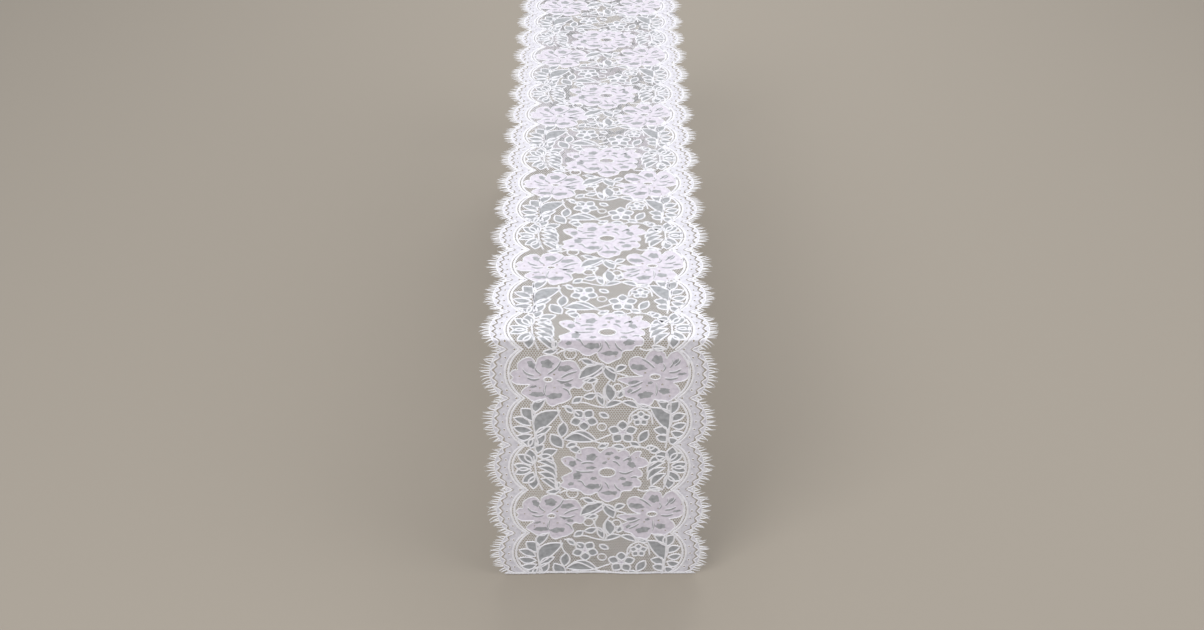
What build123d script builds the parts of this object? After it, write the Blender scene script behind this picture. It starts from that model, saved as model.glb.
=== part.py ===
"""Lace table runner, 14 x 90 in, laid over a table with a drop at each end.

Frame, in mm: X across, Y along the table, Z up. The origin is the middle of the top panel's underside, so the table
top is Z = 0 and the fold lines lie at Y = -FOLD_Y and Y = +FOLD_Y. The front drop hangs on the -Y side.

The cloth is drawn flat. U runs across it and V along it, from the front hem to the rear hem, with V = 0 in the
middle. Each panel cuts its stretch of the flat cloth and lays it on its own plane.
"""

import math
import os

from build123d import *

os.makedirs("parts", exist_ok=True)

# Driving dimensions
LENGTH = 2286.0  # 90 in over the hems
DROP = 457.0  # cloth that hangs at each end
REPEAT = 264.0  # one rose to the next
SCALLOPS = 3  # scallops in one repeat
FIRST_ROSE = -658.0  # V of the first rose behind the front fold

EDGE_APEX = 161.0  # half width of the net at the middle of a scallop
EDGE_CUSP = 143.0  # half width of the net between two scallops
RAIL_APEX = 140.0  # outer side of the rails at the middle of a scallop
RAIL_CUSP = 118.0  # outer side of the rails between two scallops
FRINGE_REACH = 17.0  # from the net's edge to the fringe's tips

NET_THICK = 0.5
CLOTH_THICK = 0.4  # dense cloth-stitch on the net
CORD_THICK = 0.7  # raised cords
HEM_WIDE = 4.0
HEM_THICK = 1.6
HEM_HALF = 152.0  # half the hem's length across the cloth
STITCH_PITCH = 6.0
STITCH_LONG = 4.2
STITCH_WIDE = 0.8
HINGE_GAP = 0.3  # the drops start this far below the table top

HALF = LENGTH / 2
FOLD_Y = HALF - DROP
SCALLOP = REPEAT / SCALLOPS
RAIL_WIDE = 2.2
RAIL_GAP = 1.8
BAND_APEX = 153.0
BAND_CUSP = 135.0
BAND_WIDE = 10.0
PICOT_PITCH = SCALLOP / 8
PICOT_HOLE = 3.0
EDGE_ROOM = 7.0  # from the net's edge in to the zigzag cord
FRINGE_ROOT = 2.5  # of the fringe that lies on the net
ZIGZAG_PITCH = SCALLOP / 8
TUFT_PITCH = SCALLOP / 9
CORD_IN = 0.95  # inner line of an outline cord, as a share of the flower's size

# The flower repeat, in mm from the middle of its rose's row: +U to the right seen from the front hem.
ROSE = [
    (-58, 9), (-54, 17), (-47, 21), (-39, 22), (-37, 30), (-29, 36), (-19, 39), (-9, 39), (2, 32), (9, 38),
    (20, 38), (32, 32), (42, 30), (50, 34), (60, 30), (63, 16), (60, 0), (57, -16), (61, -30), (56, -42),
    (44, -45), (33, -49), (28, -61), (15, -67), (2, -61), (-4, -51), (-18, -53), (-34, -48), (-50, -42),
    (-59, -30), (-56, -18), (-50, -8),
]
ROSE_EYE = (12, -10, 13.5, 10)  # centre and half sizes of the open eye
PEONY_LEFT = [
    (-126, -85), (-121, -70), (-112, -62), (-101, -61), (-91, -68), (-84, -58), (-72, -54), (-58, -60),
    (-46, -66), (-34, -70), (-29, -80), (-14, -78), (3, -72), (7, -78), (-6, -90), (-20, -98), (-30, -112),
    (-43, -116), (-46, -128), (-58, -136), (-72, -134), (-84, -136), (-98, -131), (-108, -120), (-104, -107),
    (-121, -103),
]
PEONY_LEFT_EYE = (-74, -98, 6, 5)
PEONY_RIGHT = [
    (137, -90), (134, -78), (137, -68), (129, -56), (117, -47), (104, -52), (95, -58), (86, -48), (76, -54),
    (64, -61), (50, -61), (43, -69), (46, -80), (62, -88), (46, -96), (36, -106), (44, -114), (34, -124),
    (44, -132), (60, -134), (72, -130), (84, -133), (98, -128), (112, -122), (120, -110), (112, -99), (128, -97),
]
PEONY_RIGHT_EYE = (82, -93, 7, 5.5)

# Leaves: base U, base V, tip U, tip V, width, bend to the left of the way it points
FAN_LEFT = [
    (-99, 6, -108, 32, 13, 2), (-101, 4, -124, 18, 12, -2), (-102, -1, -127, -5, 11, 2),
    (-101, -6, -119, -24, 12, 3), (-95, 18, -74, 4, 8, 6), (-94, 8, -70, -8, 8, 6), (-94, -4, -71, -22, 8, 6),
    (-92, -15, -74, -38, 9, 5), (-84, 12, -62, 30, 12, 3),
]
FAN_RIGHT = [
    (104, 10, 112, 37, 13, -2), (108, 8, 126, 24, 12, 2), (109, 2, 131, 2, 11, -2), (108, -6, 124, -22, 12, -3),
    (100, 14, 82, 0, 8, -5), (100, 4, 78, -10, 8, -5), (101, -6, 80, -24, 8, -5), (102, -14, 90, -34, 9, -4),
    (97, 16, 82, 30, 12, -3),
]
SPRAY_LEFT = [
    (-101, -171, -114, -152, 15, -2), (-102, -182, -123, -170, 11, -2), (-101, -192, -126, -186, 11, 2),
    (-100, -205, -122, -207, 9, 3), (-98, -163, -82, -139, 10, 3), (-95, -192, -60, -157, 17, 8),
    (-95, -203, -76, -183, 8, 3), (-93, -215, -76, -200, 8, 3),
]
SPRAY_RIGHT = [
    (106, -160, 118, -139, 12, 2), (108, -174, 126, -162, 10, 2), (108, -186, 128, -180, 10, -2),
    (106, -200, 124, -202, 9, -3), (102, -158, 84, -138, 10, -3), (102, -186, 79, -156, 16, -6),
    (101, -197, 83, -187, 13, -3), (100, -212, 86, -205, 11, -3),
]
DRIFT = [
    (-38, -197, -8, -212, 15, 3), (-60, -202, -54, -181, 10, 0), (-56, -216, -68, -199, 13, 0),
    (12, -108, 17, -126, 9, 0), (-12, -118, -22, -134, 8, 0), (30, -100, 24, -84, 7, 0),
    (60, -212, 68, -190, 12, 0), (36, -138, 18, -150, 9, 2), (50, -150, 40, -136, 9, 0),
    (-8, -62, -24, -60, 7, 0), (-66, -42, -80, -50, 8, 0), (92, -42, 78, -46, 8, 0),
]
# Five-petal blossoms: centre U, centre V, petal reach, petal width, angle of the first petal
BLOSSOMS = [(-24, -174, 19, 12, 55), (34, -194, 20, 13, 18), (61, -171, 13, 9, 90)]
# Vines and stems: points that the cord passes through, and its width
VINES = [
    ([(-100, 20), (-98, 0), (-96, -24), (-90, -42)], 2.4),
    ([(102, 22), (105, 0), (104, -18), (100, -40)], 2.4),
    ([(-101, -146), (-99, -176), (-97, -200), (-97, -222)], 2.4),
    ([(104, -136), (105, -170), (104, -200), (100, -222)], 2.4),
    ([(45, -186), (46, -166), (60, -153), (76, -162), (80, -182)], 2.0),
    ([(-62, -140), (-64, -160), (-56, -178)], 1.8),
    ([(0, -72), (8, -92), (2, -110), (10, -132)], 1.8),
]


def edge_arcs(apex, cusp, v_from, v_to):
    """The three points of each scallop's arc on the right, from below v_from to above v_to."""
    first = math.floor((v_from - FIRST_ROSE) / SCALLOP - 0.5)
    last = math.ceil((v_to - FIRST_ROSE) / SCALLOP + 0.5)
    arcs = []
    for k in range(first, last + 1):
        mid = FIRST_ROSE + k * SCALLOP
        arcs.append(((cusp, mid - SCALLOP / 2), (apex, mid), (cusp, mid + SCALLOP / 2)))
    return arcs


def edge_u(v):
    """U of the net's right edge at V."""
    rise = EDGE_APEX - EDGE_CUSP
    radius = (SCALLOP**2 / 4 + rise**2) / (2 * rise)
    from_apex = (v - FIRST_ROSE + SCALLOP / 2) % SCALLOP - SCALLOP / 2
    return EDGE_APEX - radius + math.sqrt(radius**2 - from_apex**2)


def repeats(v_from, v_to):
    """V of every rose row whose flowers can reach into this stretch of cloth."""
    first = math.floor((v_from - FIRST_ROSE - 50) / REPEAT)
    last = math.ceil((v_to - FIRST_ROSE + 225) / REPEAT)
    return [FIRST_ROSE + k * REPEAT for k in range(first, last + 1)]


def mirrored(points):
    return [(-u, v) for u, v in points]


def outline(points, v_row):
    """The smooth closed outline through the points, filled."""
    with BuildSketch(Plane.XY) as shape:
        with BuildLine():
            Spline(*[(u, v + v_row) for u, v in points], periodic=True)
        make_face()
    return shape.sketch


def oval(u, v, half_u, half_v):
    with BuildSketch(Plane.XY) as shape:
        with Locations((u, v)):
            Ellipse(half_u, half_v)
    return shape.sketch


def leaf(base_u, base_v, tip_u, tip_v, width, bend, v_row):
    """A leaf between two arcs from its base to its tip."""
    run = math.hypot(tip_u - base_u, tip_v - base_v)
    side_u = -(tip_v - base_v) / run
    side_v = (tip_u - base_u) / run
    mid_u = (base_u + tip_u) / 2
    mid_v = (base_v + tip_v) / 2 + v_row
    base = (base_u, base_v + v_row)
    tip = (tip_u, tip_v + v_row)
    near = bend - width / 2
    far = bend + width / 2
    with BuildSketch(Plane.XY) as shape:
        with BuildLine():
            ThreePointArc(base, (mid_u + near * side_u, mid_v + near * side_v), tip)
            ThreePointArc(base, (mid_u + far * side_u, mid_v + far * side_v), tip)
        make_face()
    return shape.sketch


def stem(points, width, v_row):
    """A strip of even width that follows a smooth line."""
    left = []
    right = []
    for k, (u, v) in enumerate(points):
        before = points[max(k - 1, 0)]
        after = points[min(k + 1, len(points) - 1)]
        run = math.hypot(after[0] - before[0], after[1] - before[1])
        side_u = (before[1] - after[1]) / run * width / 2
        side_v = (after[0] - before[0]) / run * width / 2
        left.append((u + side_u, v + side_v + v_row))
        right.append((u - side_u, v - side_v + v_row))
    with BuildSketch(Plane.XY) as shape:
        with BuildLine():
            Spline(*left)
            Spline(*right)
            Line(left[0], right[0])
            Line(left[-1], right[-1])
        make_face()
    return shape.sketch


def curved_strip(outer, inner):
    """The strip between two three-point arcs."""
    with BuildSketch(Plane.XY) as shape:
        with BuildLine():
            ThreePointArc(*outer)
            ThreePointArc(*inner)
            Line(outer[0], inner[0])
            Line(outer[2], inner[2])
        make_face()
    return shape.sketch


# Each family's filled shapes in one stretch of flat cloth, and the holes to cut in them.


def net_shapes(v_from, v_to):
    arcs = edge_arcs(EDGE_APEX, EDGE_CUSP, v_from, v_to)
    return [curved_strip(arc, mirrored(arc)) for arc in arcs], []


def rose_shapes(v_from, v_to):
    u, v, half_u, half_v = ROSE_EYE
    rows = repeats(v_from, v_to)
    return [outline(ROSE, row) for row in rows], [oval(u, v + row, half_u, half_v) for row in rows]


def peony_shapes(v_from, v_to):
    shapes = []
    holes = []
    for row in repeats(v_from, v_to):
        for points, eye in ((PEONY_LEFT, PEONY_LEFT_EYE), (PEONY_RIGHT, PEONY_RIGHT_EYE)):
            u, v, half_u, half_v = eye
            shapes.append(outline(points, row))
            holes.append(oval(u, v + row, half_u, half_v))
    return shapes, holes


def fan_shapes(v_from, v_to):
    return [leaf(*row, v_row) for v_row in repeats(v_from, v_to) for row in FAN_LEFT + FAN_RIGHT], []


def spray_shapes(v_from, v_to):
    return [leaf(*row, v_row) for v_row in repeats(v_from, v_to) for row in SPRAY_LEFT + SPRAY_RIGHT], []


def blossom_shapes(v_from, v_to):
    shapes = []
    for v_row in repeats(v_from, v_to):
        shapes += [leaf(*row, v_row) for row in DRIFT]
        for u, v, reach, width, first_deg in BLOSSOMS:
            shapes.append(oval(u, v + v_row, width / 3, width / 3))
            for k in range(5):
                turn = math.radians(first_deg + 72 * k)
                tip_u = u + reach * math.cos(turn)
                tip_v = v + reach * math.sin(turn)
                shapes.append(leaf(u, v, tip_u, tip_v, width, 0, v_row))
    return shapes, []


def vine_shapes(v_from, v_to):
    return [stem(points, width, v_row) for v_row in repeats(v_from, v_to) for points, width in VINES], []


def strips(apex, cusp, wide, v_from, v_to):
    """Scalloped strips inside the given line, on both edges."""
    shapes = []
    for arc in edge_arcs(apex, cusp, v_from, v_to):
        inner = [(u - wide, v) for u, v in arc]
        shapes.append(curved_strip(arc, inner))
        shapes.append(curved_strip(mirrored(arc), mirrored(inner)))
    return shapes


def rail_shapes(v_from, v_to):
    step = RAIL_WIDE + RAIL_GAP
    outer = strips(RAIL_APEX, RAIL_CUSP, RAIL_WIDE, v_from, v_to)
    inner = strips(RAIL_APEX - step, RAIL_CUSP - step, RAIL_WIDE, v_from, v_to)
    return outer + inner, []


def picot_shapes(v_from, v_to):
    first = math.floor((v_from - FIRST_ROSE) / PICOT_PITCH)
    last = math.ceil((v_to - FIRST_ROSE) / PICOT_PITCH)
    inset = EDGE_APEX - BAND_APEX + BAND_WIDE / 2
    holes = []
    for k in range(first, last + 1):
        v = FIRST_ROSE + k * PICOT_PITCH
        u = edge_u(v) - inset
        holes.append(oval(u, v, PICOT_HOLE / 2, PICOT_HOLE / 2))
        holes.append(oval(-u, v, PICOT_HOLE / 2, PICOT_HOLE / 2))
    return strips(BAND_APEX, BAND_CUSP, BAND_WIDE, v_from, v_to), holes


def toothed(v_from, v_to, pitch, root, valley, tip, thin, side):
    """A strip along one edge from root to valley, seen from the net's edge, with teeth out to tip."""
    first = math.ceil((v_from - FIRST_ROSE) / pitch)
    last = math.floor((v_to - FIRST_ROSE) / pitch) - 1
    outer = []
    inner = []
    for k in range(first, last + 2):
        start = FIRST_ROSE + k * pitch
        middle = start + pitch / 2
        outer.append((side * (edge_u(start) + valley), start))
        inner.append((side * (edge_u(start) + root), start))
        if k <= last:
            outer.append((side * (edge_u(middle) + tip), middle - thin / 2))
            outer.append((side * (edge_u(middle) + tip), middle + thin / 2))
            inner.append((side * (edge_u(middle) + root), middle))
    with BuildSketch(Plane.XY) as shape:
        with BuildLine():
            Polyline(*outer, *reversed(inner), close=True)
        make_face()
    return shape.sketch


def zigzag_shapes(v_from, v_to):
    root = -EDGE_ROOM
    tip = -FRINGE_ROOT - 0.3
    return [toothed(v_from, v_to, ZIGZAG_PITCH, root, root + 1.4, tip, 1.2, side) for side in (1, -1)], []


def fringe_shapes(v_from, v_to):
    root = -FRINGE_ROOT
    return [toothed(v_from, v_to, TUFT_PITCH, root, -0.5, FRINGE_REACH, 1.4, side) for side in (1, -1)], []


def cordonnet_shapes(v_from, v_to):
    """Rings just inside each flower's outline, and the flowers' inner areas that they leave free."""
    shapes = []
    holes = []
    for v_row in repeats(v_from, v_to):
        for points in (ROSE, PEONY_LEFT, PEONY_RIGHT):
            mid_u = sum(u for u, v in points) / len(points)
            mid_v = sum(v for u, v in points) / len(points)
            inner = [(mid_u + (u - mid_u) * CORD_IN, mid_v + (v - mid_v) * CORD_IN) for u, v in points]
            shapes.append(outline(points, v_row))
            holes.append(outline(inner, v_row))
    return shapes, holes


def flat_sketch(shapes_and_holes, v_from, v_to, taken=()):
    """Joins the shapes, cuts the holes and what earlier pieces cover, and keeps one stretch of cloth."""
    shapes, holes = shapes_and_holes
    with BuildSketch(Plane.XY) as flat:
        add(shapes)
        if holes:
            add(holes, mode=Mode.SUBTRACT)
        if taken:
            add(taken, mode=Mode.SUBTRACT)
        with Locations((0, (v_from + v_to) / 2)):
            Rectangle(2 * LENGTH, v_to - v_from, mode=Mode.INTERSECT)
    return flat.sketch


# Each panel: the plane of its underside with flat cloth coordinates, and its stretch of V without the hems
PANELS = {
    "top": (Plane.XY, -FOLD_Y, FOLD_Y),
    "front": (
        Plane(origin=(0, -FOLD_Y, FOLD_Y), x_dir=(1, 0, 0), z_dir=(0, -1, 0)),
        -HALF + HEM_WIDE,
        -FOLD_Y - HINGE_GAP,
    ),
    "rear": (
        Plane(origin=(0, FOLD_Y, FOLD_Y), x_dir=(1, 0, 0), z_dir=(0, 1, 0)),
        FOLD_Y + HINGE_GAP,
        HALF - HEM_WIDE,
    ),
}
# Pieces that lie on the net: name, shapes and thickness. Where two would lie in one place, the earlier keeps it.
ON_NET = [
    ("central_roses", rose_shapes, CLOTH_THICK),
    ("side_peonies", peony_shapes, CLOTH_THICK),
    ("scallop_rails", rail_shapes, CORD_THICK),
    ("fan_sprays", fan_shapes, CLOTH_THICK),
    ("leaf_sprays", spray_shapes, CLOTH_THICK),
    ("blossoms_and_buds", blossom_shapes, CLOTH_THICK),
    ("vines", vine_shapes, CORD_THICK),
    ("picot_bands", picot_shapes, CLOTH_THICK),
    ("zigzag_cords", zigzag_shapes, CORD_THICK),
    ("eyelash_fringe", fringe_shapes, CLOTH_THICK),
]


def write(name, part):
    part.label = name
    export_step(part, "parts/" + name + ".step")


for panel, (plane, v_low, v_high) in PANELS.items():
    with BuildPart() as net_ground:
        with BuildSketch(plane):
            add(flat_sketch(net_shapes(v_low, v_high), v_low, v_high))
        extrude(amount=NET_THICK)
    write(panel + "_net_ground", net_ground.part)

    taken = []
    for name, shapes, thick in ON_NET:
        flat = flat_sketch(shapes(v_low, v_high), v_low, v_high, taken)
        taken.append(flat)
        with BuildPart() as on_net:
            with BuildSketch(plane.offset(NET_THICK)):
                add(flat)
            extrude(amount=thick)
        write(panel + "_" + name, on_net.part)

    with BuildPart() as cordonnet:
        with BuildSketch(plane.offset(NET_THICK + CLOTH_THICK)):
            add(flat_sketch(cordonnet_shapes(v_low, v_high), v_low, v_high))
        extrude(amount=CORD_THICK)
    write(panel + "_outline_cord", cordonnet.part)

for panel, v_end, side in (("front", -HALF, 1), ("rear", HALF, -1)):
    plane = PANELS[panel][0]
    mid_v = v_end + side * HEM_WIDE / 2
    with BuildPart() as end_hem:
        with BuildSketch(plane):
            with Locations((0, mid_v)):
                Rectangle(2 * HEM_HALF, HEM_WIDE)
        extrude(amount=HEM_THICK)
        fillet(end_hem.edges().filter_by(Axis.X), HEM_THICK / 3)
    write(panel + "_end_hem", end_hem.part)

    with BuildPart() as hem_stitching:
        with BuildSketch(plane.offset(HEM_THICK)):
            with Locations((0, mid_v)):
                with GridLocations(STITCH_PITCH, 1, int(2 * HEM_HALF / STITCH_PITCH), 1):
                    SlotOverall(STITCH_LONG, STITCH_WIDE)
        extrude(amount=STITCH_WIDE / 2)
    write(panel + "_hem_stitching", hem_stitching.part)
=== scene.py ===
"""Lace table runner: the looks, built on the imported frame.

The lace is drawn flat in millimetres, U across the cloth and V along it towards the rear, with V = 0 in
the middle of the runner. One flower repeat is drawn once and laid out along the cloth. The whole drawing is
then draped: flat on the table top, round the table's two edges and straight down, with faint ripples in the
drops.
"""

import math
import random

import bmesh
import bpy
import numpy as np
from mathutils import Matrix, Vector
from mathutils.geometry import delaunay_2d_cdt


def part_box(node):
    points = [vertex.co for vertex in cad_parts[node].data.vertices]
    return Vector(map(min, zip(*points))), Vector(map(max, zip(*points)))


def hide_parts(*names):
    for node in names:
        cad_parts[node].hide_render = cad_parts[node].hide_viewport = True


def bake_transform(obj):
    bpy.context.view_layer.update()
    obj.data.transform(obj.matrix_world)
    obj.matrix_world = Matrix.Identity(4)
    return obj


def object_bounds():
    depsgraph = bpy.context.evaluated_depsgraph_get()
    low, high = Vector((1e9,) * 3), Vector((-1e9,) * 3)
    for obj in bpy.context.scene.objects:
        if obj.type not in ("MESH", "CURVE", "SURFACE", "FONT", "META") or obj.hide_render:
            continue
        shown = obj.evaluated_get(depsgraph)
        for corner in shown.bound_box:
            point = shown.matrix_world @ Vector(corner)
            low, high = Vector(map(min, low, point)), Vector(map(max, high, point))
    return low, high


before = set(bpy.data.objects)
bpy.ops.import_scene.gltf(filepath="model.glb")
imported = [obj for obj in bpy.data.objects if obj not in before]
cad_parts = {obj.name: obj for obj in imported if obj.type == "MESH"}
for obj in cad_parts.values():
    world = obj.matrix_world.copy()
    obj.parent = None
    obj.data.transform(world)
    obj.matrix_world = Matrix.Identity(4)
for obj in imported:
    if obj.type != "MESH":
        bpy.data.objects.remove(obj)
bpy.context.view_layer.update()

MM = 0.001

# The cloth, in mm, from the frame where it says
net_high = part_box("top_net_ground")[1]
hem_low, hem_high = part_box("front_end_hem")
FOLD = net_high[1] / MM  # from the middle to each fold line
HALF = FOLD - hem_low[2] / MM  # from the middle to each hem
HEM_WIDE = (hem_high[2] - hem_low[2]) / MM
HEM_HALF = hem_high[0] / MM
EDGE_APEX = net_high[0] / MM  # half width of the net at the middle of a scallop
EDGE_CUSP = EDGE_APEX - 18.0  # and between two scallops
FRINGE_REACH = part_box("top_eyelash_fringe")[1][0] / MM - EDGE_APEX

# The pattern along the cloth, in mm
REPEAT = 264.0
SCALLOP = REPEAT / 3
FIRST_ROSE = -658.0  # V of one rose's row; the others are whole repeats from it
FLOWERS_ABOVE = 60.0  # the flowers end within this much above their rose's row
FLOWERS_BELOW = 225.0  # and about this much below it
HEM_COVERS = 0.5  # a face that starts nearer to the end than this is left out

TABLE_ROUND = 1.5  # the table edge's own radius
NET_LIFT = 0.3  # middle of the net above the table
UV_UNIT = 10.0  # the materials' patterns are set in centimetres

# Ripples in the drops: the drop over which they grow, their depths and how far the drop stands off
RIPPLE_RUN = 300
RIPPLE = 1.0
FINE_RIPPLE = 0.4
EDGE_FLUTTER = 2.5
STAND_OFF = 3.0

# Heights of the layers above the net
CLOTH_UP = 0.25
LEAF_STEP = 0.04  # the leaves lie at four heights in turn, this far apart
CENTRE_UP = 0.45
CORD_UP = 0.35

# Cords: width and height
OUTLINE_CORD = (2.0, 0.8)
EYE_CORD = (2.6, 0.9)
VEIN_CORD = (1.1, 0.5)
LEAF_CORD = (2.9, 0.8)
VINE_CORD = (2.8, 0.8)
RING_CORD = (2.3, 0.7)
CENTRE_CORD = (1.2, 0.5)
RAIL_CORD = (3.5, 0.8)
DOT_CORD = (0.9, 0.5)
ZIGZAG_CORD = (2.2, 0.8)
EDGE_CORD = (1.6, 0.6)
STITCH_CORD = (0.8, 0.35)

# The border: the line that the rails follow, and the zigzag's step and its distances in from the edge
RAIL_APEX = EDGE_APEX - 21.0
RAIL_CUSP = EDGE_CUSP - 25.0
RAIL_INSETS = (2.0, 7.2)
BAND_EDGE_INSET = 1.2
BAND_RAIL_INSET = 1.0
ZIGZAG_STEP = SCALLOP / 12
ZIGZAG_OUT = 2.2
ZIGZAG_IN = 8.0
DOT_ASIDE = 4.6  # outwards from the rails' line
DOT_HALF_WIDE = 2.0
DOT_HALF_LONG = 2.3
SLOT_ASIDE = 3.2  # inwards from the zigzag
SLOT_WIDE = 3.0
EDGE_CORD_INSET = 0.8

# The fringe: tufts of three strands, the share of full length that is left between two scallops, and the
# start of each strand inside the edge
TUFTS_PER_SCALLOP = 21
STRAND_APART = 0.62
CUSP_FULLNESS = 0.62
ROOT_INSIDE = 1.5
HEM_CLEAR = 3  # no tuft nearer to the end than this

# The hem: half its thickness, the height of its middle and its stitches' step and height
HEM_HALF_THICK = 0.9
HEM_UP = 0.3
STITCH_STEP = 5.0
STITCH_UP = 1.1

# Kinds of face in the lace, in the order of its materials
# The third kind is the half-density cloth: real thinner cloth, but its grey colour is painted shade,
# standing for the dark seen through its open threads
NET, DENSE, HALF_SHADE = range(3)

NET_ROWS = 76  # rows of cells in one repeat
NET_THREAD = 0.6

# The flower repeat, in mm from its rose's row

# Flowers: the ruffled outline; the open eye (U, V, half sizes); soft half-density spots, grey with painted
# shade (U, V, half length, half width, turn); slits, grey strips of painted shade that stand in for open
# gaps, each a bent line through the points; and round holes (U, V, half size)
ROSE = (
    [
        (-58, 15), (-51, 20), (-42, 20), (-36, 15), (-35, 27), (-27, 36), (-16, 39), (-6, 37), (1, 29),
        (8, 35), (16, 39), (25, 36), (29, 30), (36, 34), (44, 31), (47, 24), (54, 31), (64, 31), (61, 22),
        (70, 17), (75, 8), (68, 2), (59, -1), (65, -8), (65, -16), (58, -20), (64, -28), (62, -37),
        (53, -38), (48, -45), (38, -46), (33, -50), (31, -59), (22, -64), (13, -69), (5, -65), (-1, -58),
        (-4, -50), (-14, -55), (-24, -53), (-31, -46), (-42, -47), (-53, -42), (-61, -36), (-55, -28),
        (-58, -20), (-49, -14), (-41, -8), (-47, 0), (-53, 5),
    ],
    (12, -10, 13, 9),
    [
        (-12, 20, 9, 6, 10), (15, 27, 6, 3.5, 20), (27, 19, 5, 3, -25), (49, 6, 8, 4.5, -35),
        (-41, 7, 6.5, 5, 20), (-13, -1, 7, 3.2, 0), (-34, -17, 8, 6, 50), (-9, -22, 5, 3, 20),
        (-10, -38, 10, 6, 0), (16, -51, 11, 4.5, 0), (43, -32, 9, 4.5, 15), (36, -22, 5, 3, 0),
        (8, 9, 4, 2.4, 20), (46, 17, 3, 5, 10), (-44, -33, 5, 3, 30),
    ],
    [
        [(-36, -7), (-28, -10), (-8, -9)], [(30, -10), (40, -12), (52, -6)],
        [(-38, 19), (-33, 15), (-27, 11)], [(36, 12), (41, 16), (47, 19)],
        [(-34, -27), (-27, -29), (-22, -38)], [(2, -32), (3, -41), (-2, -49)],
        [(23, -33), (27, -41), (33, -47)], [(-28, 6), (-20, 9), (-8, 8)], [(20, 12), (27, 9), (32, 2)],
        [(48, -20), (54, -18), (60, -20)], [(8, -30), (13, -36), (15, -43)],
    ],
    [(14, 17, 2.2), (-28, 24, 1.4), (56, 20, 1.4), (30, -24, 1.4), (-52, 12, 1.3), (24, -56, 1.3)],
)
LEFT_PEONY = (
    [
        (-130, -88), (-125, -81), (-119, -80), (-119, -70), (-112, -62), (-102, -58), (-95, -63),
        (-92, -70), (-89, -60), (-80, -55), (-69, -55), (-60, -59), (-55, -65), (-46, -64), (-36, -66),
        (-31, -74), (-26, -83), (-19, -76), (-8, -73), (4, -69), (8, -76), (4, -85), (-5, -92),
        (-14, -98), (-21, -105), (-29, -114), (-38, -112), (-44, -119), (-41, -130), (-50, -139),
        (-61, -143), (-70, -147), (-77, -141), (-80, -132), (-88, -139), (-99, -137), (-107, -130),
        (-115, -122), (-110, -114), (-102, -108), (-112, -107), (-122, -106), (-129, -100), (-126, -94),
    ],
    (-75, -98, 6.5, 4.5),
    [
        (-99, -71, 5, 7, 20), (-76, -70, 10, 7, 0), (-50, -78, 10, 5.5, 0), (-14, -84, 8, 3.5, 30),
        (3, -78, 3, 4, 0), (-92, -125, 10, 5, 0), (-66, -128, 11, 5.5, 0), (-46, -108, 6, 3, 0),
        (-54, -104, 4, 2, 0), (-97, -111, 5, 2.2, 20),
    ],
    [
        [(-56, -65), (-63, -78), (-76, -90)], [(-112, -80), (-106, -88), (-95, -92)],
        [(-106, -95), (-97, -99), (-87, -97)], [(-63, -100), (-50, -103), (-38, -98)],
        [(-56, -96), (-46, -89), (-32, -84)], [(-25, -103), (-12, -93), (4, -80)],
        [(-78, -107), (-81, -118), (-79, -128)], [(-54, -114), (-46, -119), (-43, -127)],
        [(-94, -76), (-91, -83), (-86, -88)],
    ],
    [
        (-66, -89, 1.6), (-86, -90, 1.6), (-87, -113, 1.6), (-66, -113, 1.6), (-117, -92, 1.3),
        (-102, -118, 1.3),
    ],
)
RIGHT_PEONY = (
    [
        (131, -82), (131, -70), (129, -60), (123, -51), (113, -47), (104, -51), (98, -60), (95, -51),
        (86, -45), (76, -46), (70, -53), (66, -61), (57, -57), (47, -60), (43, -69), (47, -81), (56, -89),
        (64, -92), (50, -93), (37, -94), (27, -98), (36, -104), (44, -109), (34, -116), (38, -128),
        (50, -133), (57, -142), (68, -148), (78, -142), (82, -134), (90, -139), (102, -138), (112, -130),
        (119, -120), (115, -110), (109, -104), (117, -102), (126, -99), (131, -92),
    ],
    (82, -93, 8, 5),
    [
        (85, -62, 7, 8.5, 10), (57, -76, 11, 6, -10), (50, -103, 8, 3, 10), (68, -126, 10, 6.5, 10),
        (96, -119, 9, 5, -10), (112, -66, 3, 6, -30), (45, -119, 5, 3, 40), (75, -104, 4, 2.4, 0),
        (121, -88, 6, 2.4, 10),
    ],
    [
        [(62, -61), (72, -68), (81, -78)], [(103, -77), (107, -70), (107, -62)],
        [(110, -74), (115, -69), (118, -63)], [(102, -86), (111, -85), (120, -80)],
        [(46, -112), (54, -109), (64, -103)], [(96, -97), (106, -98), (116, -95)],
        [(46, -124), (55, -119), (62, -113)], [(84, -106), (85, -117), (83, -129)],
        [(94, -70), (96, -77), (93, -84)],
    ],
    [(67, -86, 2.0), (92, -82, 1.6), (70, -109, 1.6), (93, -107, 2.0), (128, -74, 1.3), (104, -128, 1.3)],
)
FLOWERS = [ROSE, LEFT_PEONY, RIGHT_PEONY]
SLIT_WIDE = 3.2
VEIN_ASIDE = 2.4  # a fine cord runs this far above each slit

LEAF_BROADER = 1.22  # the fans' and sprays' leaves are this much broader than listed
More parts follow.
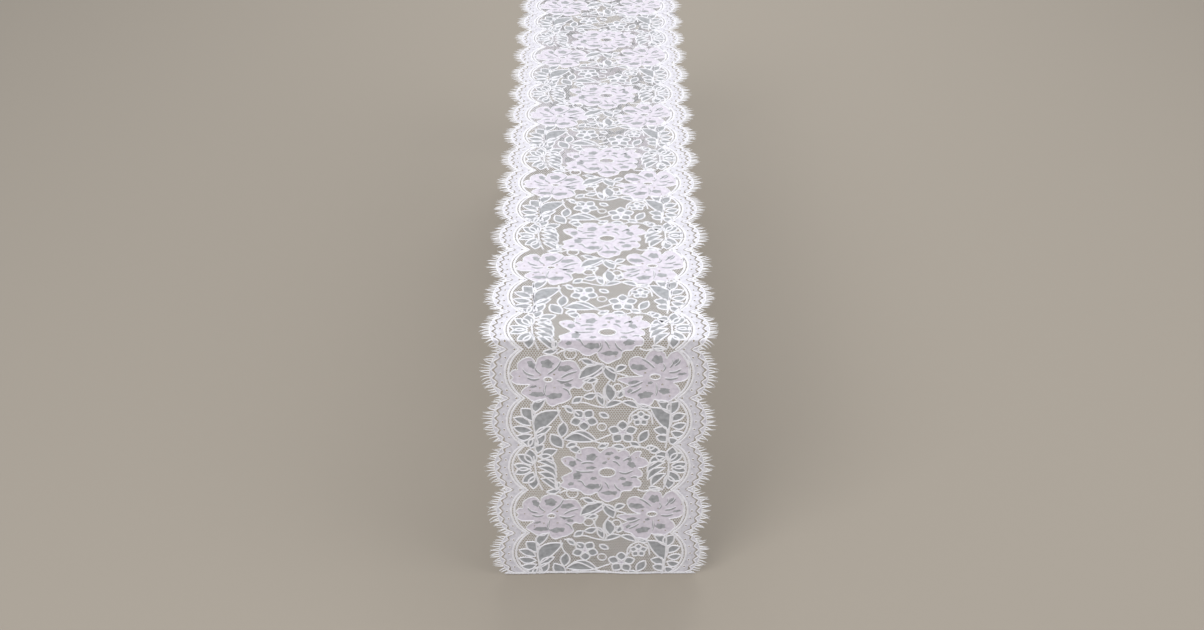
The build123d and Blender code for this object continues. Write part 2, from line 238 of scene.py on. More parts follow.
# Leaves: base U, base V, tip U, tip V, width, bend to the left of the way it points
FAN = [
    (-99, 8, -106, 36, 15, 2), (-102, 5, -124, 25, 13, -2), (-104, 0, -130, 6, 11, 2),
    (-104, -5, -129, -12, 11, -2), (-101, -9, -118, -29, 13, 3), (-97, -16, -102, -42, 13, -2),
    (-95, 22, -70, 6, 9, 7), (-94, 12, -66, -6, 9, 7), (-94, 1, -66, -20, 9, 7),
    (-93, -10, -68, -33, 10, 6), (-90, -22, -66, -46, 12, 6), (-88, 16, -64, 34, 13, 4),
    (-94, 28, -84, 44, 10, 3),
    (105, 12, 111, 40, 14, -2), (108, 9, 127, 27, 12, 2), (110, 3, 134, 8, 11, -2),
    (110, -3, 133, -9, 11, 2), (108, -8, 124, -27, 13, -3), (104, -16, 107, -42, 13, 2),
    (100, 20, 77, 3, 9, -6), (100, 10, 73, -9, 9, -6), (101, -1, 74, -24, 9, -6),
    (102, -12, 80, -36, 10, -5), (97, 12, 88, 32, 15, -3), (92, 30, 76, 42, 10, 2),
]
SPRAY = [
    (-100, -174, -116, -151, 16, -3), (-102, -183, -128, -168, 11, -2), (-101, -192, -129, -186, 11, 2),
    (-101, -201, -126, -204, 10, 3), (-100, -210, -118, -219, 10, 2), (-98, -160, -80, -135, 12, 4),
    (-96, -199, -58, -156, 21, 9), (-95, -208, -72, -186, 10, 4), (-93, -222, -82, -198, 12, 2),
    (-96, -206, -104, -226, 12, 0),
    (106, -162, 118, -138, 14, 3), (108, -175, 128, -162, 11, 2), (109, -185, 130, -180, 10, -2),
    (108, -195, 128, -199, 10, -3), (105, -207, 120, -216, 10, -2), (104, -160, 86, -136, 12, -4),
    (103, -192, 76, -149, 20, -8), (102, -202, 82, -190, 13, -4), (101, -214, 86, -204, 12, -3),
]
DRIFT = [
    (-53, -210, -4, -212, 22, 7), (-57, -206, -53, -177, 15, 0), (-56, -226, -73, -200, 18, 0),
    (-46, -226, -28, -236, 12, 2), (12, -106, 17, -138, 16, 2), (-30, -97, 7, -72, 17, 4),
    (5, -74, 22, -102, 17, 3), (-24, -101, -2, -98, 9, 0), (-26, -130, -40, -142, 11, 0),
    (-4, -124, -24, -130, 11, 2), (60, -215, 73, -192, 14, 0), (-2, -122, 6, -146, 10, 0),
    (24, -84, 40, -74, 10, 2),
    (8, -150, 34, -139, 10, 3), (34, -139, 58, -150, 10, 3), (58, -144, 76, -152, 8, 0),
    (36, -118, 28, -132, 9, 0), (-8, -70, -26, -62, 9, 0), (-60, -44, -82, -49, 9, 2),
    (96, -43, 76, -38, 9, 2), (-50, 40, -34, 46, 10, 0), (62, 40, 46, 50, 10, 0),
    (-62, -30, -66, -42, 8, 0), (20, -222, 40, -230, 10, 2), (-2, -226, 14, -218, 9, 0),
    (-40, -160, -50, -146, 9, 0), (0, -160, 14, -168, 9, 0), (70, -226, 84, -224, 9, 0),
]
# Five-petal blossoms: centre U, centre V, petal reach, petal width, angle of the first petal
BLOSSOMS = [(-23, -172, 21, 15, 55), (35, -196, 22, 15, 18), (62, -170, 14, 10, 90)]
# Rings of cord on the net: U, V, half size
RINGS = [(-42, -52, 9), (-17, -111, 8), (27, -113, 7), (4, -186, 7)]
# Stems: points along each
VINES = [
    [(4, -70), (18, -84), (30, -88), (42, -92)], [(-2, -100), (-8, -112), (-4, -124), (4, -132)],
    [(17, -138), (24, -130), (30, -122)], [(-40, -142), (-24, -140), (-8, -146), (8, -150)],
    [(-30, -64), (-20, -60), (-8, -66), (6, -72)], [(50, -162), (48, -174), (42, -182)],
    [(-62, -52), (-52, -46), (-40, -43), (-30, -47)], [(58, -42), (68, -46), (84, -42), (98, -44)],
    [(-56, -148), (-44, -150), (-36, -158), (-30, -164)],
    [(18, -224), (34, -228), (52, -222), (70, -226)], [(-100, 24), (-98, 0), (-95, -24), (-88, -44)],
    [(104, 26), (106, 0), (104, -20), (99, -42)], [(-101, -142), (-99, -176), (-97, -200), (-97, -226)],
    [(106, -134), (106, -170), (104, -200), (100, -226)],
    [(44, -182), (46, -164), (60, -152), (76, -160), (80, -180)], [(-62, -148), (-60, -164), (-54, -178)],
    [(18, -98), (12, -106), (6, -122), (12, -140), (8, -150)],
    [(-52, -208), (-34, -198), (-8, -213), (10, -220)], [(-8, -213), (8, -205), (18, -200)],
    [(78, -149), (66, -144), (58, -144)],
]


class Flat:
    """Faces drawn on the flat cloth: points as (U, V, height), in mm."""

    def __init__(self):
        self.points = []
        self.faces = []
        self.kinds = []

    def add(self, points, faces, kind=0):
        first = len(self.points)
        self.points.extend(points)
        self.faces.extend(tuple(first + i for i in face) for face in faces)
        self.kinds.extend([kind] * len(faces))


def closed_curve(points, per_side=4):
    """A smooth closed line through the points."""
    count = len(points)
    line = []
    for k in range(count):
        a, b, c, d = (np.array(points[(k + i) % count], float) for i in (-1, 0, 1, 2))
        for j in range(per_side):
            t = j / per_side
            line.append(tuple(catmull(a, b, c, d, t)))
    return line


def open_curve(points, per_side=6):
    """A smooth line through the points, from the first to the last."""
    full = [points[0], *points, points[-1]]
    line = []
    for k in range(1, len(full) - 2):
        a, b, c, d = (np.array(full[k + i], float) for i in (-1, 0, 1, 2))
        for j in range(per_side):
            line.append(tuple(catmull(a, b, c, d, j / per_side)))
    line.append(tuple(points[-1]))
    return line


def catmull(a, b, c, d, t):
    return 0.5 * (2 * b + (c - a) * t + (2 * a - 5 * b + 4 * c - d) * t**2 + (3 * b - a - 3 * c + d) * t**3)


def oval(u, v, half_long, half_wide, turn=0.0, count=16):
    c = math.cos(math.radians(turn))
    s = math.sin(math.radians(turn))
    line = []
    for k in range(count):
        a = 2 * math.pi * k / count
        x = half_long * math.cos(a)
        y = half_wide * math.sin(a)
        line.append((u + c * x - s * y, v + s * x + c * y))
    return line


def bent_line(base, tip, bend, count):
    """Points from base to tip on a bow that stands bend to the left at its middle."""
    run_u = tip[0] - base[0]
    run_v = tip[1] - base[1]
    run = math.hypot(run_u, run_v)
    line = []
    for k in range(count + 1):
        t = k / count
        off = 4 * t * (1 - t) * bend
        line.append((base[0] + t * run_u - off * run_v / run, base[1] + t * run_v + off * run_u / run))
    return line


def leaf_line(leaf, broader=1.0):
    """A leaf's closed outline, with its width times broader."""
    base_u, base_v, tip_u, tip_v, width, bend = leaf
    base = (base_u, base_v)
    tip = (tip_u, tip_v)
    one = bent_line(base, tip, bend + broader * width / 2, 8)
    other = bent_line(base, tip, bend - broader * width / 2, 8)
    return one + other[-2:0:-1]


def inside(points, loop):
    """Which of the points lie inside the closed loop."""
    x, y = points[:, 0], points[:, 1]
    hit = np.zeros(len(points), bool)
    for k in range(len(loop)):
        ax, ay = loop[k - 1]
        bx, by = loop[k]
        if ay == by:
            continue
        crosses = (ay > y) != (by > y)
        hit ^= crosses & (x < (bx - ax) * (y - ay) / (by - ay) + ax)
    return hit


def fill(flat, outline, holes, height, kind, grid=6.0):
    """Fills an outline, less its holes, with triangles no longer than about the grid."""
    low = np.min(outline, axis=0)
    high = np.max(outline, axis=0)
    us = np.arange(low[0], high[0], grid)
    vs = np.arange(low[1], high[1], grid * 0.87)
    lattice = np.array([(u + (j % 2) * grid / 2, v) for j, v in enumerate(vs) for u in us])
    points = list(outline)
    edges = [(k, (k + 1) % len(outline)) for k in range(len(outline))]
    for hole in holes:
        first = len(points)
        points.extend(hole)
        edges.extend((first + k, first + (k + 1) % len(hole)) for k in range(len(hole)))
    if len(lattice):
        keep = inside(lattice, outline)
        points.extend(map(tuple, lattice[keep]))
    verts, _, faces, *_ = delaunay_2d_cdt([Vector(p) for p in points], edges, [], 0, 1e-4)
    flat_points = np.array([tuple(v) for v in verts])
    middles = np.array([flat_points[list(face)].mean(axis=0) for face in faces])
    keep = inside(middles, outline)
    for hole in holes:
        keep &= ~inside(middles, hole)
    flat.add([(u, v, height) for u, v in flat_points], [f for f, k in zip(faces, keep) if k], kind)


def cord(flat, line, width, height, base, closed=False):
    """A raised cord along a line: four points across, rounded over the top."""
    points = np.array(line, float)
    count = len(points)
    if closed:
        along = np.roll(points, -1, axis=0) - np.roll(points, 1, axis=0)
    else:
        along = np.gradient(points, axis=0)
    along /= np.maximum(np.linalg.norm(along, axis=1, keepdims=True), 1e-9)
    side = np.stack([-along[:, 1], along[:, 0]], axis=1)
    verts = []
    for k in range(count):
        for share, rise in ((-0.5, 0.0), (-0.25, 1.0), (0.25, 1.0), (0.5, 0.0)):
            u, v = points[k] + side[k] * share * width
            verts.append((u, v, base + rise * height))
    faces = []
    for k in range(count if closed else count - 1):
        a = 4 * k
        b = 4 * ((k + 1) % count)
        faces.extend((a + i, b + i, b + i + 1, a + i + 1) for i in range(3))
    flat.add(verts, faces)


def edge_u(v, apex=None, cusp=None):
    """U of a scalloped line on the right at V: by default the net's edge."""
    apex = EDGE_APEX if apex is None else apex
    cusp = EDGE_CUSP if cusp is None else cusp
    rise = apex - cusp
    radius = (SCALLOP**2 / 4 + rise**2) / (2 * rise)
    from_apex = (v - FIRST_ROSE + SCALLOP / 2) % SCALLOP - SCALLOP / 2
    return apex - radius + math.sqrt(radius**2 - from_apex**2)


def scallop_line(apex, cusp, side, step=4.0):
    """A scalloped line along one whole edge, with a point on every cusp."""
    count = int(round(SCALLOP / step))
    first = math.floor((-HALF - FIRST_ROSE) / SCALLOP - 0.5)
    last = math.ceil((HALF - FIRST_ROSE) / SCALLOP + 0.5)
    line = []
    for k in range(first, last + 1):
        for j in range(count):
            v = FIRST_ROSE + (k - 0.5 + j / count) * SCALLOP
            line.append((side * edge_u(v, apex, cusp), v))
    return line


# One repeat of the flowers


def leaf_shapes():
    """Outlines of every leaf and small petal of one repeat."""
    shapes = [leaf_line(leaf, LEAF_BROADER) for leaf in FAN + SPRAY]
    shapes.extend(leaf_line(leaf) for leaf in DRIFT)
    for u, v, reach, width, first in BLOSSOMS:
        for k in range(5):
            turn = math.radians(first + 72 * k)
            near = (u + 0.2 * reach * math.cos(turn), v + 0.2 * reach * math.sin(turn))
            tip = (u + reach * math.cos(turn), v + reach * math.sin(turn))
            shapes.append(leaf_line((*near, *tip, width, 0)))
    return shapes


def draw_flower(cloth, cords, covered, flower):
    """Dense cloth in a ruffled outline: open at the eye and dots, half-density grey at the spots and slits;
    the grey is painted shade, and at the slits it stands in for open gaps.
    """
    points, eye, spots, slits, dots = flower
    outline = closed_curve(points)
    eye_line = oval(*eye, count=20)
    holes = [eye_line]
    holes.extend(oval(u, v, half, half, count=8) for u, v, half in dots)
    spot_lines = [spot_line(*spot) for spot in spots] + [slit_line(slit, SLIT_WIDE) for slit in slits]
    fill(cloth, outline, holes + spot_lines, CLOTH_UP, DENSE)
    # The spots and slits take the grey half-density cloth: painted shade, which at the slits stands in for
    # open gaps
    for line in spot_lines:
        fill(cloth, line, holes, CLOTH_UP, HALF_SHADE)
    covered.append((outline, holes))
    cord(cords, outline, *OUTLINE_CORD, CORD_UP, closed=True)
    cord(cords, eye_line, *EYE_CORD, CORD_UP + 0.2, closed=True)
    for slit in slits:
        cord(cords, [(u, v + VEIN_ASIDE) for u, v in open_curve(slit, 4)], *VEIN_CORD, CORD_UP + 0.1)


def slit_line(points, width):
    """A slit's closed outline: a bent line, widest at its middle and pointed at both ends."""
    line = np.array(open_curve(points, 4))
    along = np.gradient(line, axis=0)
    along /= np.linalg.norm(along, axis=1, keepdims=True)
    side = np.stack([-along[:, 1], along[:, 0]], axis=1)
    half = width / 2 * np.sin(np.pi * np.linspace(0, 1, len(line)))[:, None] ** 0.5
    one = line + side * half
    other = line - side * half
    return [tuple(p) for p in one] + [tuple(p) for p in other[-2:0:-1]]


def spot_line(u, v, half_long, half_wide, turn):
    """A soft spot's closed outline: an oval with an uneven rim."""
    c = math.cos(math.radians(turn))
    w = math.sin(math.radians(turn))
    line = []
    for k in range(22):
        a = 2 * math.pi * k / 22
        swell = 1 + 0.13 * math.cos(5 * a + u) + 0.12 * math.cos(2 * a + 0.5 * v) + 0.07 * math.cos(8 * a)
        x = swell * half_long * math.cos(a)
        y = swell * half_wide * math.sin(a)
        line.append((u + c * x - w * y, v + w * x + c * y))
    return line


def draw_repeat():
    """One repeat: the cloth and net in one drawing, the cords in another."""
    cloth = Flat()
    cords = Flat()
    covered = []
    for flower in FLOWERS:
        draw_flower(cloth, cords, covered, flower)
    for u, v, half in RINGS:
        cord(cords, oval(u, v, half, half), *RING_CORD, CORD_UP, closed=True)
    for k, outline in enumerate(leaf_shapes()):
        # Leaves are half-density cloth, grey with painted shade
        fill(cloth, outline, [], CLOTH_UP + LEAF_STEP * (k % 4 + 1), HALF_SHADE)
        covered.append((outline, []))
        cord(cords, outline, *LEAF_CORD, CORD_UP, closed=True)
    for u, v, _, width, _ in BLOSSOMS:
        fill(cloth, oval(u, v, width / 3, width / 3), [], CENTRE_UP, DENSE)
        cord(cords, oval(u, v, width / 5, width / 5, count=10), *CENTRE_CORD, CENTRE_UP + 0.2, closed=True)
    for vine in VINES:
        cord(cords, open_curve(vine), *VINE_CORD, CORD_UP)
    draw_net(cloth, covered)
    return cloth, cords


def draw_net(cloth, covered):
    """The hexagonal net of one repeat, left out where denser cloth covers it."""
    side = REPEAT / (1.5 * NET_ROWS)
    wide = math.sqrt(3) * side
    columns = int(EDGE_APEX / wide) + 2
    starts = []
    ends = []
    for row in range(NET_ROWS):
        v = row * 1.5 * side
        for col in range(-columns, columns + 1):
            u = (col + (row % 2) / 2) * wide
            foot = (u, v)
            starts += [foot, (u, v + side), (u, v + side)]
            ends += [(u, v + side), (u + wide / 2, v + 1.5 * side), (u - wide / 2, v + 1.5 * side)]
    starts = np.array(starts)
    ends = np.array(ends)
    middles = (starts + ends) / 2
    hidden = np.zeros(len(middles), bool)
    for outline, holes in covered:
        low = np.min(outline, axis=0)
        high = np.max(outline, axis=0)
        for shift in (-REPEAT, 0, REPEAT):
            moved = middles - (0, shift)
            near = np.all((moved > low) & (moved < high), axis=1)
            if not near.any():
                continue
            hit = inside(moved[near], outline)
            for hole in holes:
                hit &= ~inside(moved[near], hole)
            hidden[np.flatnonzero(near)[hit]] = True
    edge = np.array([edge_u(v + FIRST_ROSE, RAIL_APEX, RAIL_CUSP) for v in middles[:, 1]])
    hidden |= np.abs(middles[:, 0]) > edge
    starts = starts[~hidden]
    ends = ends[~hidden]
    along = ends - starts
    along /= np.linalg.norm(along, axis=1, keepdims=True)
    across = np.stack([-along[:, 1], along[:, 0]], axis=1) * NET_THREAD / 2
    corners = np.stack([starts - across, ends - across, ends + across, starts + across], axis=1)
    corners = corners.reshape(-1, 2)
    count = len(starts)
    quads = np.arange(4 * count).reshape(-1, 4)
    cloth.add([(u, v, 0.0) for u, v in corners], [tuple(q) for q in quads.tolist()], NET)


def tiled(flat):
    """Lays one repeat out along the whole cloth."""
    points = np.array(flat.points)
    whole = Flat()
    first = math.floor((-HALF - FIRST_ROSE - FLOWERS_ABOVE) / REPEAT)
    last = math.ceil((HALF - FIRST_ROSE + FLOWERS_BELOW) / REPEAT)
    for k in range(first, last + 1):
        moved = points + (0, FIRST_ROSE + k * REPEAT, 0)
        base = len(whole.points)
        whole.points.extend(map(tuple, moved))
        whole.faces.extend(tuple(base + i for i in face) for face in flat.faces)
        whole.kinds.extend(flat.kinds)
    return whole


# Drape


def drape(points):
    """Flat points in mm to their places in metres."""
    u, v, up = points.T
    way = np.where(v < 0, -1.0, 1.0)
    run = np.abs(v)
    radius = TABLE_ROUND + NET_LIFT
    bend_from = FOLD - TABLE_ROUND
    bend_run = radius * math.pi / 2
    bend_to = bend_from + bend_run
    turn = np.clip((run - bend_from) / bend_run, 0, 1) * math.pi / 2
    hang = np.maximum(run - bend_to, 0)
    y = np.minimum(run, bend_from) + (radius + up) * np.sin(turn)
    z = -TABLE_ROUND + (radius + up) * np.cos(turn) - hang
    loose = np.clip(hang / RIPPLE_RUN, 0, 1) ** 1.5
    ripple = RIPPLE * np.sin(u / 31 + 0.6 * way) + FINE_RIPPLE * np.sin(u / 14 + 1.7 + hang / 160)
    edge_lift = EDGE_FLUTTER * (np.abs(u) / 170) ** 4 * np.sin(hang / 46 + 0.8 * way)
    y = y + loose * (ripple + edge_lift + STAND_OFF)
    return np.stack([u, way * y, z], axis=1) * MM


def build(name, flat, way, materials):
    """One half of a drawing as a mesh object: way -1 is the front half, 1 the rear half."""
    points = np.array(flat.points)
    starts = np.array([face[0] for face in flat.faces])
    v = points[starts, 1]
    keep = (v * way >= 0) & (np.abs(v) < HALF - HEM_COVERS)
    faces = [face for face, k in zip(flat.faces, keep) if k]
    kinds = [kind for kind, k in zip(flat.kinds, keep) if k]
    used = np.unique(np.concatenate([np.array(f) for f in faces]))
    index = np.full(len(points), -1)
    index[used] = np.arange(len(used))
    faces = [tuple(index[list(face)]) for face in faces]
    mesh = bpy.data.meshes.new(name)
    mesh.from_pydata([tuple(p) for p in points[used]], [], [tuple(int(i) for i in f) for f in faces])
    mesh.polygons.foreach_set("material_index", kinds)
    bm = bmesh.new()
    bm.from_mesh(mesh)
    for shift in (0.0, 0.5, 1.0):
        v_cut = way * (FOLD - TABLE_ROUND + shift * (TABLE_ROUND + NET_LIFT) * math.pi / 2)
        everything = bm.verts[:] + bm.edges[:] + bm.faces[:]
        bmesh.ops.bisect_plane(bm, geom=everything, plane_co=(0, v_cut, 0), plane_no=(0, 1, 0), dist=0.01)
    bm.to_mesh(mesh)
    bm.free()
    flat_points = np.empty(3 * len(mesh.vertices))
    mesh.vertices.foreach_get("co", flat_points)
    flat_points = flat_points.reshape(-1, 3)
    flat_points[:, 1] = np.clip(flat_points[:, 1], -HALF, HALF)
    corner = np.empty(len(mesh.loops), int)
    mesh.loops.foreach_get("vertex_index", corner)
    layer = mesh.uv_layers.new(name="flat")
    layer.data.foreach_set("uv", (flat_points[corner][:, :2] / UV_UNIT).ravel())
    mesh.vertices.foreach_set("co", drape(flat_points).ravel())
    mesh.update()
    obj = bpy.data.objects.new(name, mesh)
    bpy.context.scene.collection.objects.link(obj)
    for material in materials:
        mesh.materials.append(material)
    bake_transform(obj)
    return obj


# Edges of the cloth, drawn along the whole length


def draw_rails():
    """The two white rails that follow the scallops, with a gap between them."""
    rails = Flat()
    for side in (1, -1):
        for inset in RAIL_INSETS:
            cord(rails, scallop_line(RAIL_APEX - inset, RAIL_CUSP - inset, side), *RAIL_CORD, CORD_UP)
    return rails


def border_rows(pitch):
    """V of each step along the border, and whether it is an even one."""
    first = math.ceil((-HALF - FIRST_ROSE) / pitch) - 1
    last = math.floor((HALF - FIRST_ROSE) / pitch) + 1
    return [(FIRST_ROSE + k * pitch, k % 2 == 0) for k in range(first, last + 1)]


def zigzag_inset(even):
    return ZIGZAG_IN if even else ZIGZAG_OUT


def draw_picot_band():
    """The cloth border with its round openings and zigzag of slots, and the cords round the openings."""
    band = Flat()
    loops = Flat()
    for side in (1, -1):
        outer = scallop_line(EDGE_APEX - BAND_EDGE_INSET, EDGE_CUSP - BAND_EDGE_INSET, side)
        inner = scallop_line(RAIL_APEX - BAND_RAIL_INSET, RAIL_CUSP - BAND_RAIL_INSET, side)
        dots = []
        slots = []
        rows = border_rows(ZIGZAG_STEP)
        for k, (v, even) in enumerate(rows[:-2]):
            if not even:
                continue
            u = side * (edge_u(v, RAIL_APEX, RAIL_CUSP) + DOT_ASIDE)
            dots.append(oval(u, v, DOT_HALF_WIDE, DOT_HALF_LONG, count=10))
            line = []
            for row, row_even in rows[k : k + 3]:
                line.append((side * (edge_u(row) - zigzag_inset(row_even) - SLOT_ASIDE), row))
            slots.append(slit_line(line, SLOT_WIDE))
        fill(band, outer + inner[::-1], dots + slots, CLOTH_UP, 0, grid=8.0)
        for dot in dots:
            cord(loops, dot, *DOT_CORD, CORD_UP, closed=True)
    return band, loops


def draw_zigzag():
    """The raised cord that zigzags outside the slots, and the one along the net's edge."""
    zigzag = Flat()
    for side in (1, -1):
        line = [(side * (edge_u(v) - zigzag_inset(even)), v) for v, even in border_rows(ZIGZAG_STEP)]
        cord(zigzag, open_curve(line, 3), *ZIGZAG_CORD, CORD_UP)
        edge = scallop_line(EDGE_APEX - EDGE_CORD_INSET, EDGE_CUSP - EDGE_CORD_INSET, side)
        cord(zigzag, edge, *EDGE_CORD, CORD_UP)
    return zigzag


def draw_fringe():
    """Cut threads along both edges, in small tufts that taper to a point, shorter between two scallops."""
    fringe = Flat()
    rng = random.Random(11)
    pitch = SCALLOP / TUFTS_PER_SCALLOP
    count = int(HALF / pitch)
    for side in (1, -1):
        for k in range(-count, count + 1):
            v_root = FIRST_ROSE + (round(-FIRST_ROSE / pitch) + k + 0.5) * pitch + rng.uniform(-0.5, 0.5)
            if abs(v_root) > HALF - HEM_CLEAR:
                continue
            slope = (edge_u(v_root + 1) - edge_u(v_root - 1)) / 2
            fullness = (edge_u(v_root) - EDGE_CUSP) / (EDGE_APEX - EDGE_CUSP)
            fullness = CUSP_FULLNESS + (1 - CUSP_FULLNESS) * fullness
            lean = -0.6 * math.atan(slope) + rng.uniform(-0.16, 0.16)
            longest = FRINGE_REACH * fullness * rng.uniform(0.72, 1.0)
            bow = rng.uniform(-0.5, 0.35)
            for strand in (-1, 0, 1):
                reach = longest * (1.0 if strand == 0 else rng.uniform(0.7, 0.98))
                curl = bow + rng.uniform(-0.08, 0.08)
                v_strand = v_root + strand * STRAND_APART
                draw_strand(fringe, side, v_strand, lean - strand * 0.02, reach, curl, rng)
    return fringe


def draw_strand(fringe, side, v_root, lean, reach, curl, rng):
    """One thread: a ridge that tapers from its root to its tip."""
    u = edge_u(v_root) - ROOT_INSIDE
    v = v_root
    verts = []
    steps = 7
    angle = lean
    width = rng.uniform(1.05, 1.45)
    lift = rng.uniform(0.0, 1.2)
    for k in range(steps + 1):
        t = k / steps
        half = width / 2 * (1 - 0.85 * t**1.5)
        across = (-math.sin(angle) * half, math.cos(angle) * half)
        up = 0.2 + lift * t
        verts.append((side * (u - across[0]), v - across[1], up))
        verts.append((side * u, v, up + half))
        verts.append((side * (u + across[0]), v + across[1], up))
        u += math.cos(angle) * (reach + ROOT_INSIDE) / steps
        v += math.sin(angle) * (reach + ROOT_INSIDE) / steps
        angle += curl / steps * 2
    faces = []
    for k in range(steps):
        a = 3 * k
        faces.extend(((a, a + 3, a + 4, a + 1), (a + 1, a + 4, a + 5, a + 2)))
    fringe.add(verts, faces)


def draw_hem(way):
    """The rolled end: a flattened tube across the cloth, with a faint wobble, and its stitches."""
    hem = Flat()
    rng = random.Random(3)
    count = 120
    ring = 10
    verts = []
    for k in range(count + 1):
        u = -HEM_HALF + 2 * HEM_HALF * k / count
        wobble = rng.uniform(-0.2, 0.2)
        for j in range(ring):
            a = 2 * math.pi * j / ring
            v = way * (HALF - HEM_WIDE / 2) + wobble + math.cos(a) * HEM_WIDE / 2
            verts.append((u, v, HEM_UP + math.sin(a) * HEM_HALF_THICK))
    faces = []
    for k in range(count):
        for j in range(ring):
            a = k * ring
            b = a + ring
            faces.append((a + j, b + j, b + (j + 1) % ring, a + (j + 1) % ring))
    faces.append(tuple(range(ring)))
    faces.append(tuple(range(count * ring, count * ring + ring))[::-1])
    hem.add(verts, faces)
    stitches = Flat()
    for k in range(int(2 * HEM_HALF / STITCH_STEP)):
        u = -HEM_HALF + (k + 0.3) * STITCH_STEP
        v = way * (HALF - HEM_WIDE / 2)
        line = [(u, v), (u + 1.2, v), (u + 2.4, v), (u + 3.4, v)]
        cord(stitches, line, *STITCH_CORD, STITCH_UP)
    return hem, stitches


# Materials


def cloth_material(name, color, shade, rough, sheen, rib, bump):
    """Knitted cloth: fine ribs along the warp with darker gaps between them, the darker gaps being painted
    shade, and a slow change of tone.
    """
    material = bpy.data.materials.new(name)
    material.use_nodes = True
    tree = material.node_tree
    nodes = tree.nodes
    links = tree.links
    shader = nodes["Principled BSDF"]
    shader.inputs["Roughness"].default_value = rough
    shader.inputs["Sheen Weight"].default_value = sheen
    shader.inputs["Sheen Roughness"].default_value = 0.4
    shader.inputs["Specular IOR Level"].default_value = 0.3
    uv = nodes.new("ShaderNodeUVMap")
    uv.uv_map = "flat"
    wave = nodes.new("ShaderNodeTexWave")
    wave.bands_direction = "X"
    wave.inputs["Scale"].default_value = rib
    wave.inputs["Distortion"].default_value = 1.2
    wave.inputs["Detail"].default_value = 1.0
    wave.inputs["Detail Scale"].default_value = 3.0
    noise = nodes.new("ShaderNodeTexNoise")
    noise.inputs["Scale"].default_value = 1.4
    noise.inputs["Detail"].default_value = 4.0
    ramp = nodes.new("ShaderNodeMix")
    ramp.data_type = "RGBA"
    ramp.inputs[6].default_value = (*shade, 1)
    ramp.inputs[7].default_value = (*color, 1)
    blend = nodes.new("ShaderNodeMath")
    blend.operation = "MULTIPLY_ADD"
    blend.inputs[1].default_value = 0.55
    tone = nodes.new("ShaderNodeMath")
    tone.operation = "MULTIPLY_ADD"
    tone.inputs[1].default_value = 2.2
    tone.inputs[2].default_value = -0.75
    push = nodes.new("ShaderNodeBump")
    push.inputs["Strength"].default_value = bump
    push.inputs["Distance"].default_value = 0.0004
    links.new(uv.outputs["UV"], wave.inputs["Vector"])
    links.new(uv.outputs["UV"], noise.inputs["Vector"])
    links.new(noise.outputs["Fac"], tone.inputs[0])
    # The rib gaps pull towards the shade colour: painted shade in the gaps; the noise adds a random tone
    links.new(wave.outputs["Fac"], blend.inputs[0])
    links.new(tone.outputs[0], blend.inputs[2])
    links.new(blend.outputs[0], ramp.inputs[0])
    links.new(ramp.outputs[2], shader.inputs["Base Color"])
    links.new(wave.outputs["Fac"], push.inputs["Height"])
    links.new(push.outputs["Normal"], shader.inputs["Normal"])
    return material


def plain_material(name, color, rough):
    material = bpy.data.materials.new(name)
    material.use_nodes = True
    shader = material.node_tree.nodes["Principled BSDF"]
    shader.inputs["Base Color"].default_value = (*color, 1)
    shader.inputs["Roughness"].default_value = rough
    return material


# Each cloth's second colour is the dark end of its mix: painted shade in the rib gaps, and the darker side
# of its random tone
net_thread = cloth_material("net_thread", (0.96, 0.95, 0.98), (0.8, 0.79, 0.83), 0.7, 0.2, 6.0, 0.3)
dense_cloth = cloth_material("dense_cloth", (0.84, 0.785, 0.865), (0.64, 0.59, 0.67), 0.75, 0.3, 3.2, 0.5)
# The half-density cloth below: its grey is painted shade, the dark seen through open threads put into the
# colour of a solid surface
light_cloth = cloth_material("light_cloth", (0.5, 0.505, 0.525), (0.29, 0.295, 0.31), 0.85, 0.1, 3.2, 0.6)
white_cord = cloth_material("white_cord", (0.97, 0.96, 0.99), (0.82, 0.8, 0.86), 0.6, 0.3, 5.0, 0.4)
fringe_thread = cloth_material("fringe_thread", (0.95, 0.94, 0.96), (0.78, 0.77, 0.82), 0.5, 0.4, 8.0, 0.3)
band_cloth = cloth_material("band_cloth", (0.85, 0.83, 0.89), (0.62, 0.6, 0.66), 0.8, 0.2, 4.0, 0.5)
hem_cloth = cloth_material("hem_cloth", (0.92, 0.91, 0.93), (0.72, 0.7, 0.74), 0.7, 0.2, 4.0, 0.6)


# Put it together

LACE_NODES = [
    "net_ground", "central_roses", "side_peonies", "fan_sprays", "leaf_sprays", "blossoms_and_buds",
]

repeat_cloth, repeat_cords = draw_repeat()
cloth = tiled(repeat_cloth)
cords = tiled(repeat_cords)
band, band_loops = draw_picot_band()
rails = draw_rails()
zigzag = draw_zigzag()
fringe = draw_fringe()

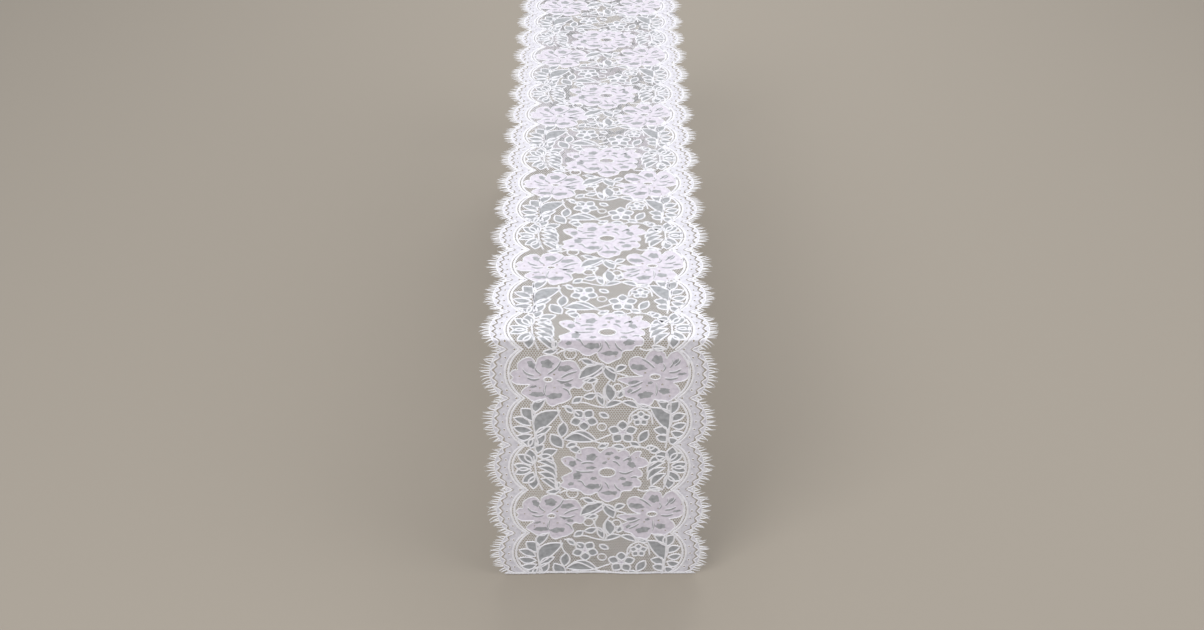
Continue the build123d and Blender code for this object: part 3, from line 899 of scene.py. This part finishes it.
for way, panel in ((-1, "front"), (1, "rear")):
    lace = build(panel + "_lace", cloth, way, [net_thread, dense_cloth, light_cloth])
    outline = build(panel + "_outline_cords", cords, way, [white_cord])
    band_obj = build(panel + "_picot_band_cloth", band, way, [band_cloth])
    loops_obj = build(panel + "_picot_loops", band_loops, way, [white_cord])
    rails_obj = build(panel + "_rail_cords", rails, way, [white_cord])
    zigzag_obj = build(panel + "_edge_cord", zigzag, way, [white_cord])
    fringe_obj = build(panel + "_eyelashes", fringe, way, [fringe_thread])
    hem_flat, stitch_flat = draw_hem(way)
    hem_obj = build(panel + "_rolled_hem", hem_flat, way, [hem_cloth])
    stitch_obj = build(panel + "_stitches", stitch_flat, way, [white_cord])
    # The front half's meshes stand for the top panel's nodes too
    panels = ["top", panel] if way < 0 else [panel]
    for piece, names in (
        (lace, LACE_NODES),
        (outline, ["outline_cord", "vines"]),
        (band_obj, ["picot_bands"]),
        (rails_obj, ["scallop_rails"]),
        (zigzag_obj, ["zigzag_cords"]),
        (fringe_obj, ["eyelash_fringe"]),
    ):
        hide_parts(*[p + "_" + n for p in panels for n in names])
    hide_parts(panel + "_end_hem")
    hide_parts(panel + "_hem_stitching")


# Setting

CAMERA_ASIDE = 0.004
CAMERA_BEFORE = 1.70  # in front of the front fold
CAMERA_UP = 1.19
CAMERA_DOWN = 34.0  # degrees below level
CAMERA_LENS = 43.1
FLOOR_GAP = 0.002
FLOOR_SIDE = 60


def add_floor():
    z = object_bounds()[0][2] - FLOOR_GAP
    bpy.ops.mesh.primitive_plane_add(size=FLOOR_SIDE, location=(0, 0, z))
    floor = bpy.context.object
    floor.name = "floor"
    floor.data.materials.append(plain_material("floor_paint", (0.34, 0.3, 0.25), 0.8))


def add_area_light(name, place, target, size, power):
    data = bpy.data.lights.new(name, "AREA")
    data.energy = power
    data.size = size
    light = bpy.data.objects.new(name, data)
    bpy.context.scene.collection.objects.link(light)
    light.location = place
    light.rotation_euler = (Vector(target) - Vector(place)).to_track_quat("-Z", "Y").to_euler()


def add_world():
    world = bpy.data.worlds.new("studio")
    bpy.context.scene.world = world
    world.use_nodes = True
    background = world.node_tree.nodes["Background"]
    background.inputs["Color"].default_value = (0.95, 0.97, 1.0, 1)
    background.inputs["Strength"].default_value = 0.6


def add_camera():
    data = bpy.data.cameras.new("camera")
    data.lens = CAMERA_LENS
    data.sensor_width = 36
    camera = bpy.data.objects.new("camera", data)
    bpy.context.scene.collection.objects.link(camera)
    camera.location = (CAMERA_ASIDE, -FOLD * MM - CAMERA_BEFORE, CAMERA_UP)
    camera.rotation_euler = (math.radians(90 - CAMERA_DOWN), 0, 0)
    bpy.context.scene.camera = camera


# Standard keeps the whites' contrast
bpy.context.scene.view_settings.view_transform = "Standard"
add_floor()
add_world()
add_area_light("key", (-1.6, -2.6, 2.6), (0, -0.5, -0.1), 1.8, 64)
add_area_light("fill", (2.2, -1.2, 2.2), (0, 0, 0), 2.2, 30)
add_area_light("back", (0.3, 2.6, 2.4), (0, 0.5, -0.1), 2.0, 50)
add_camera()
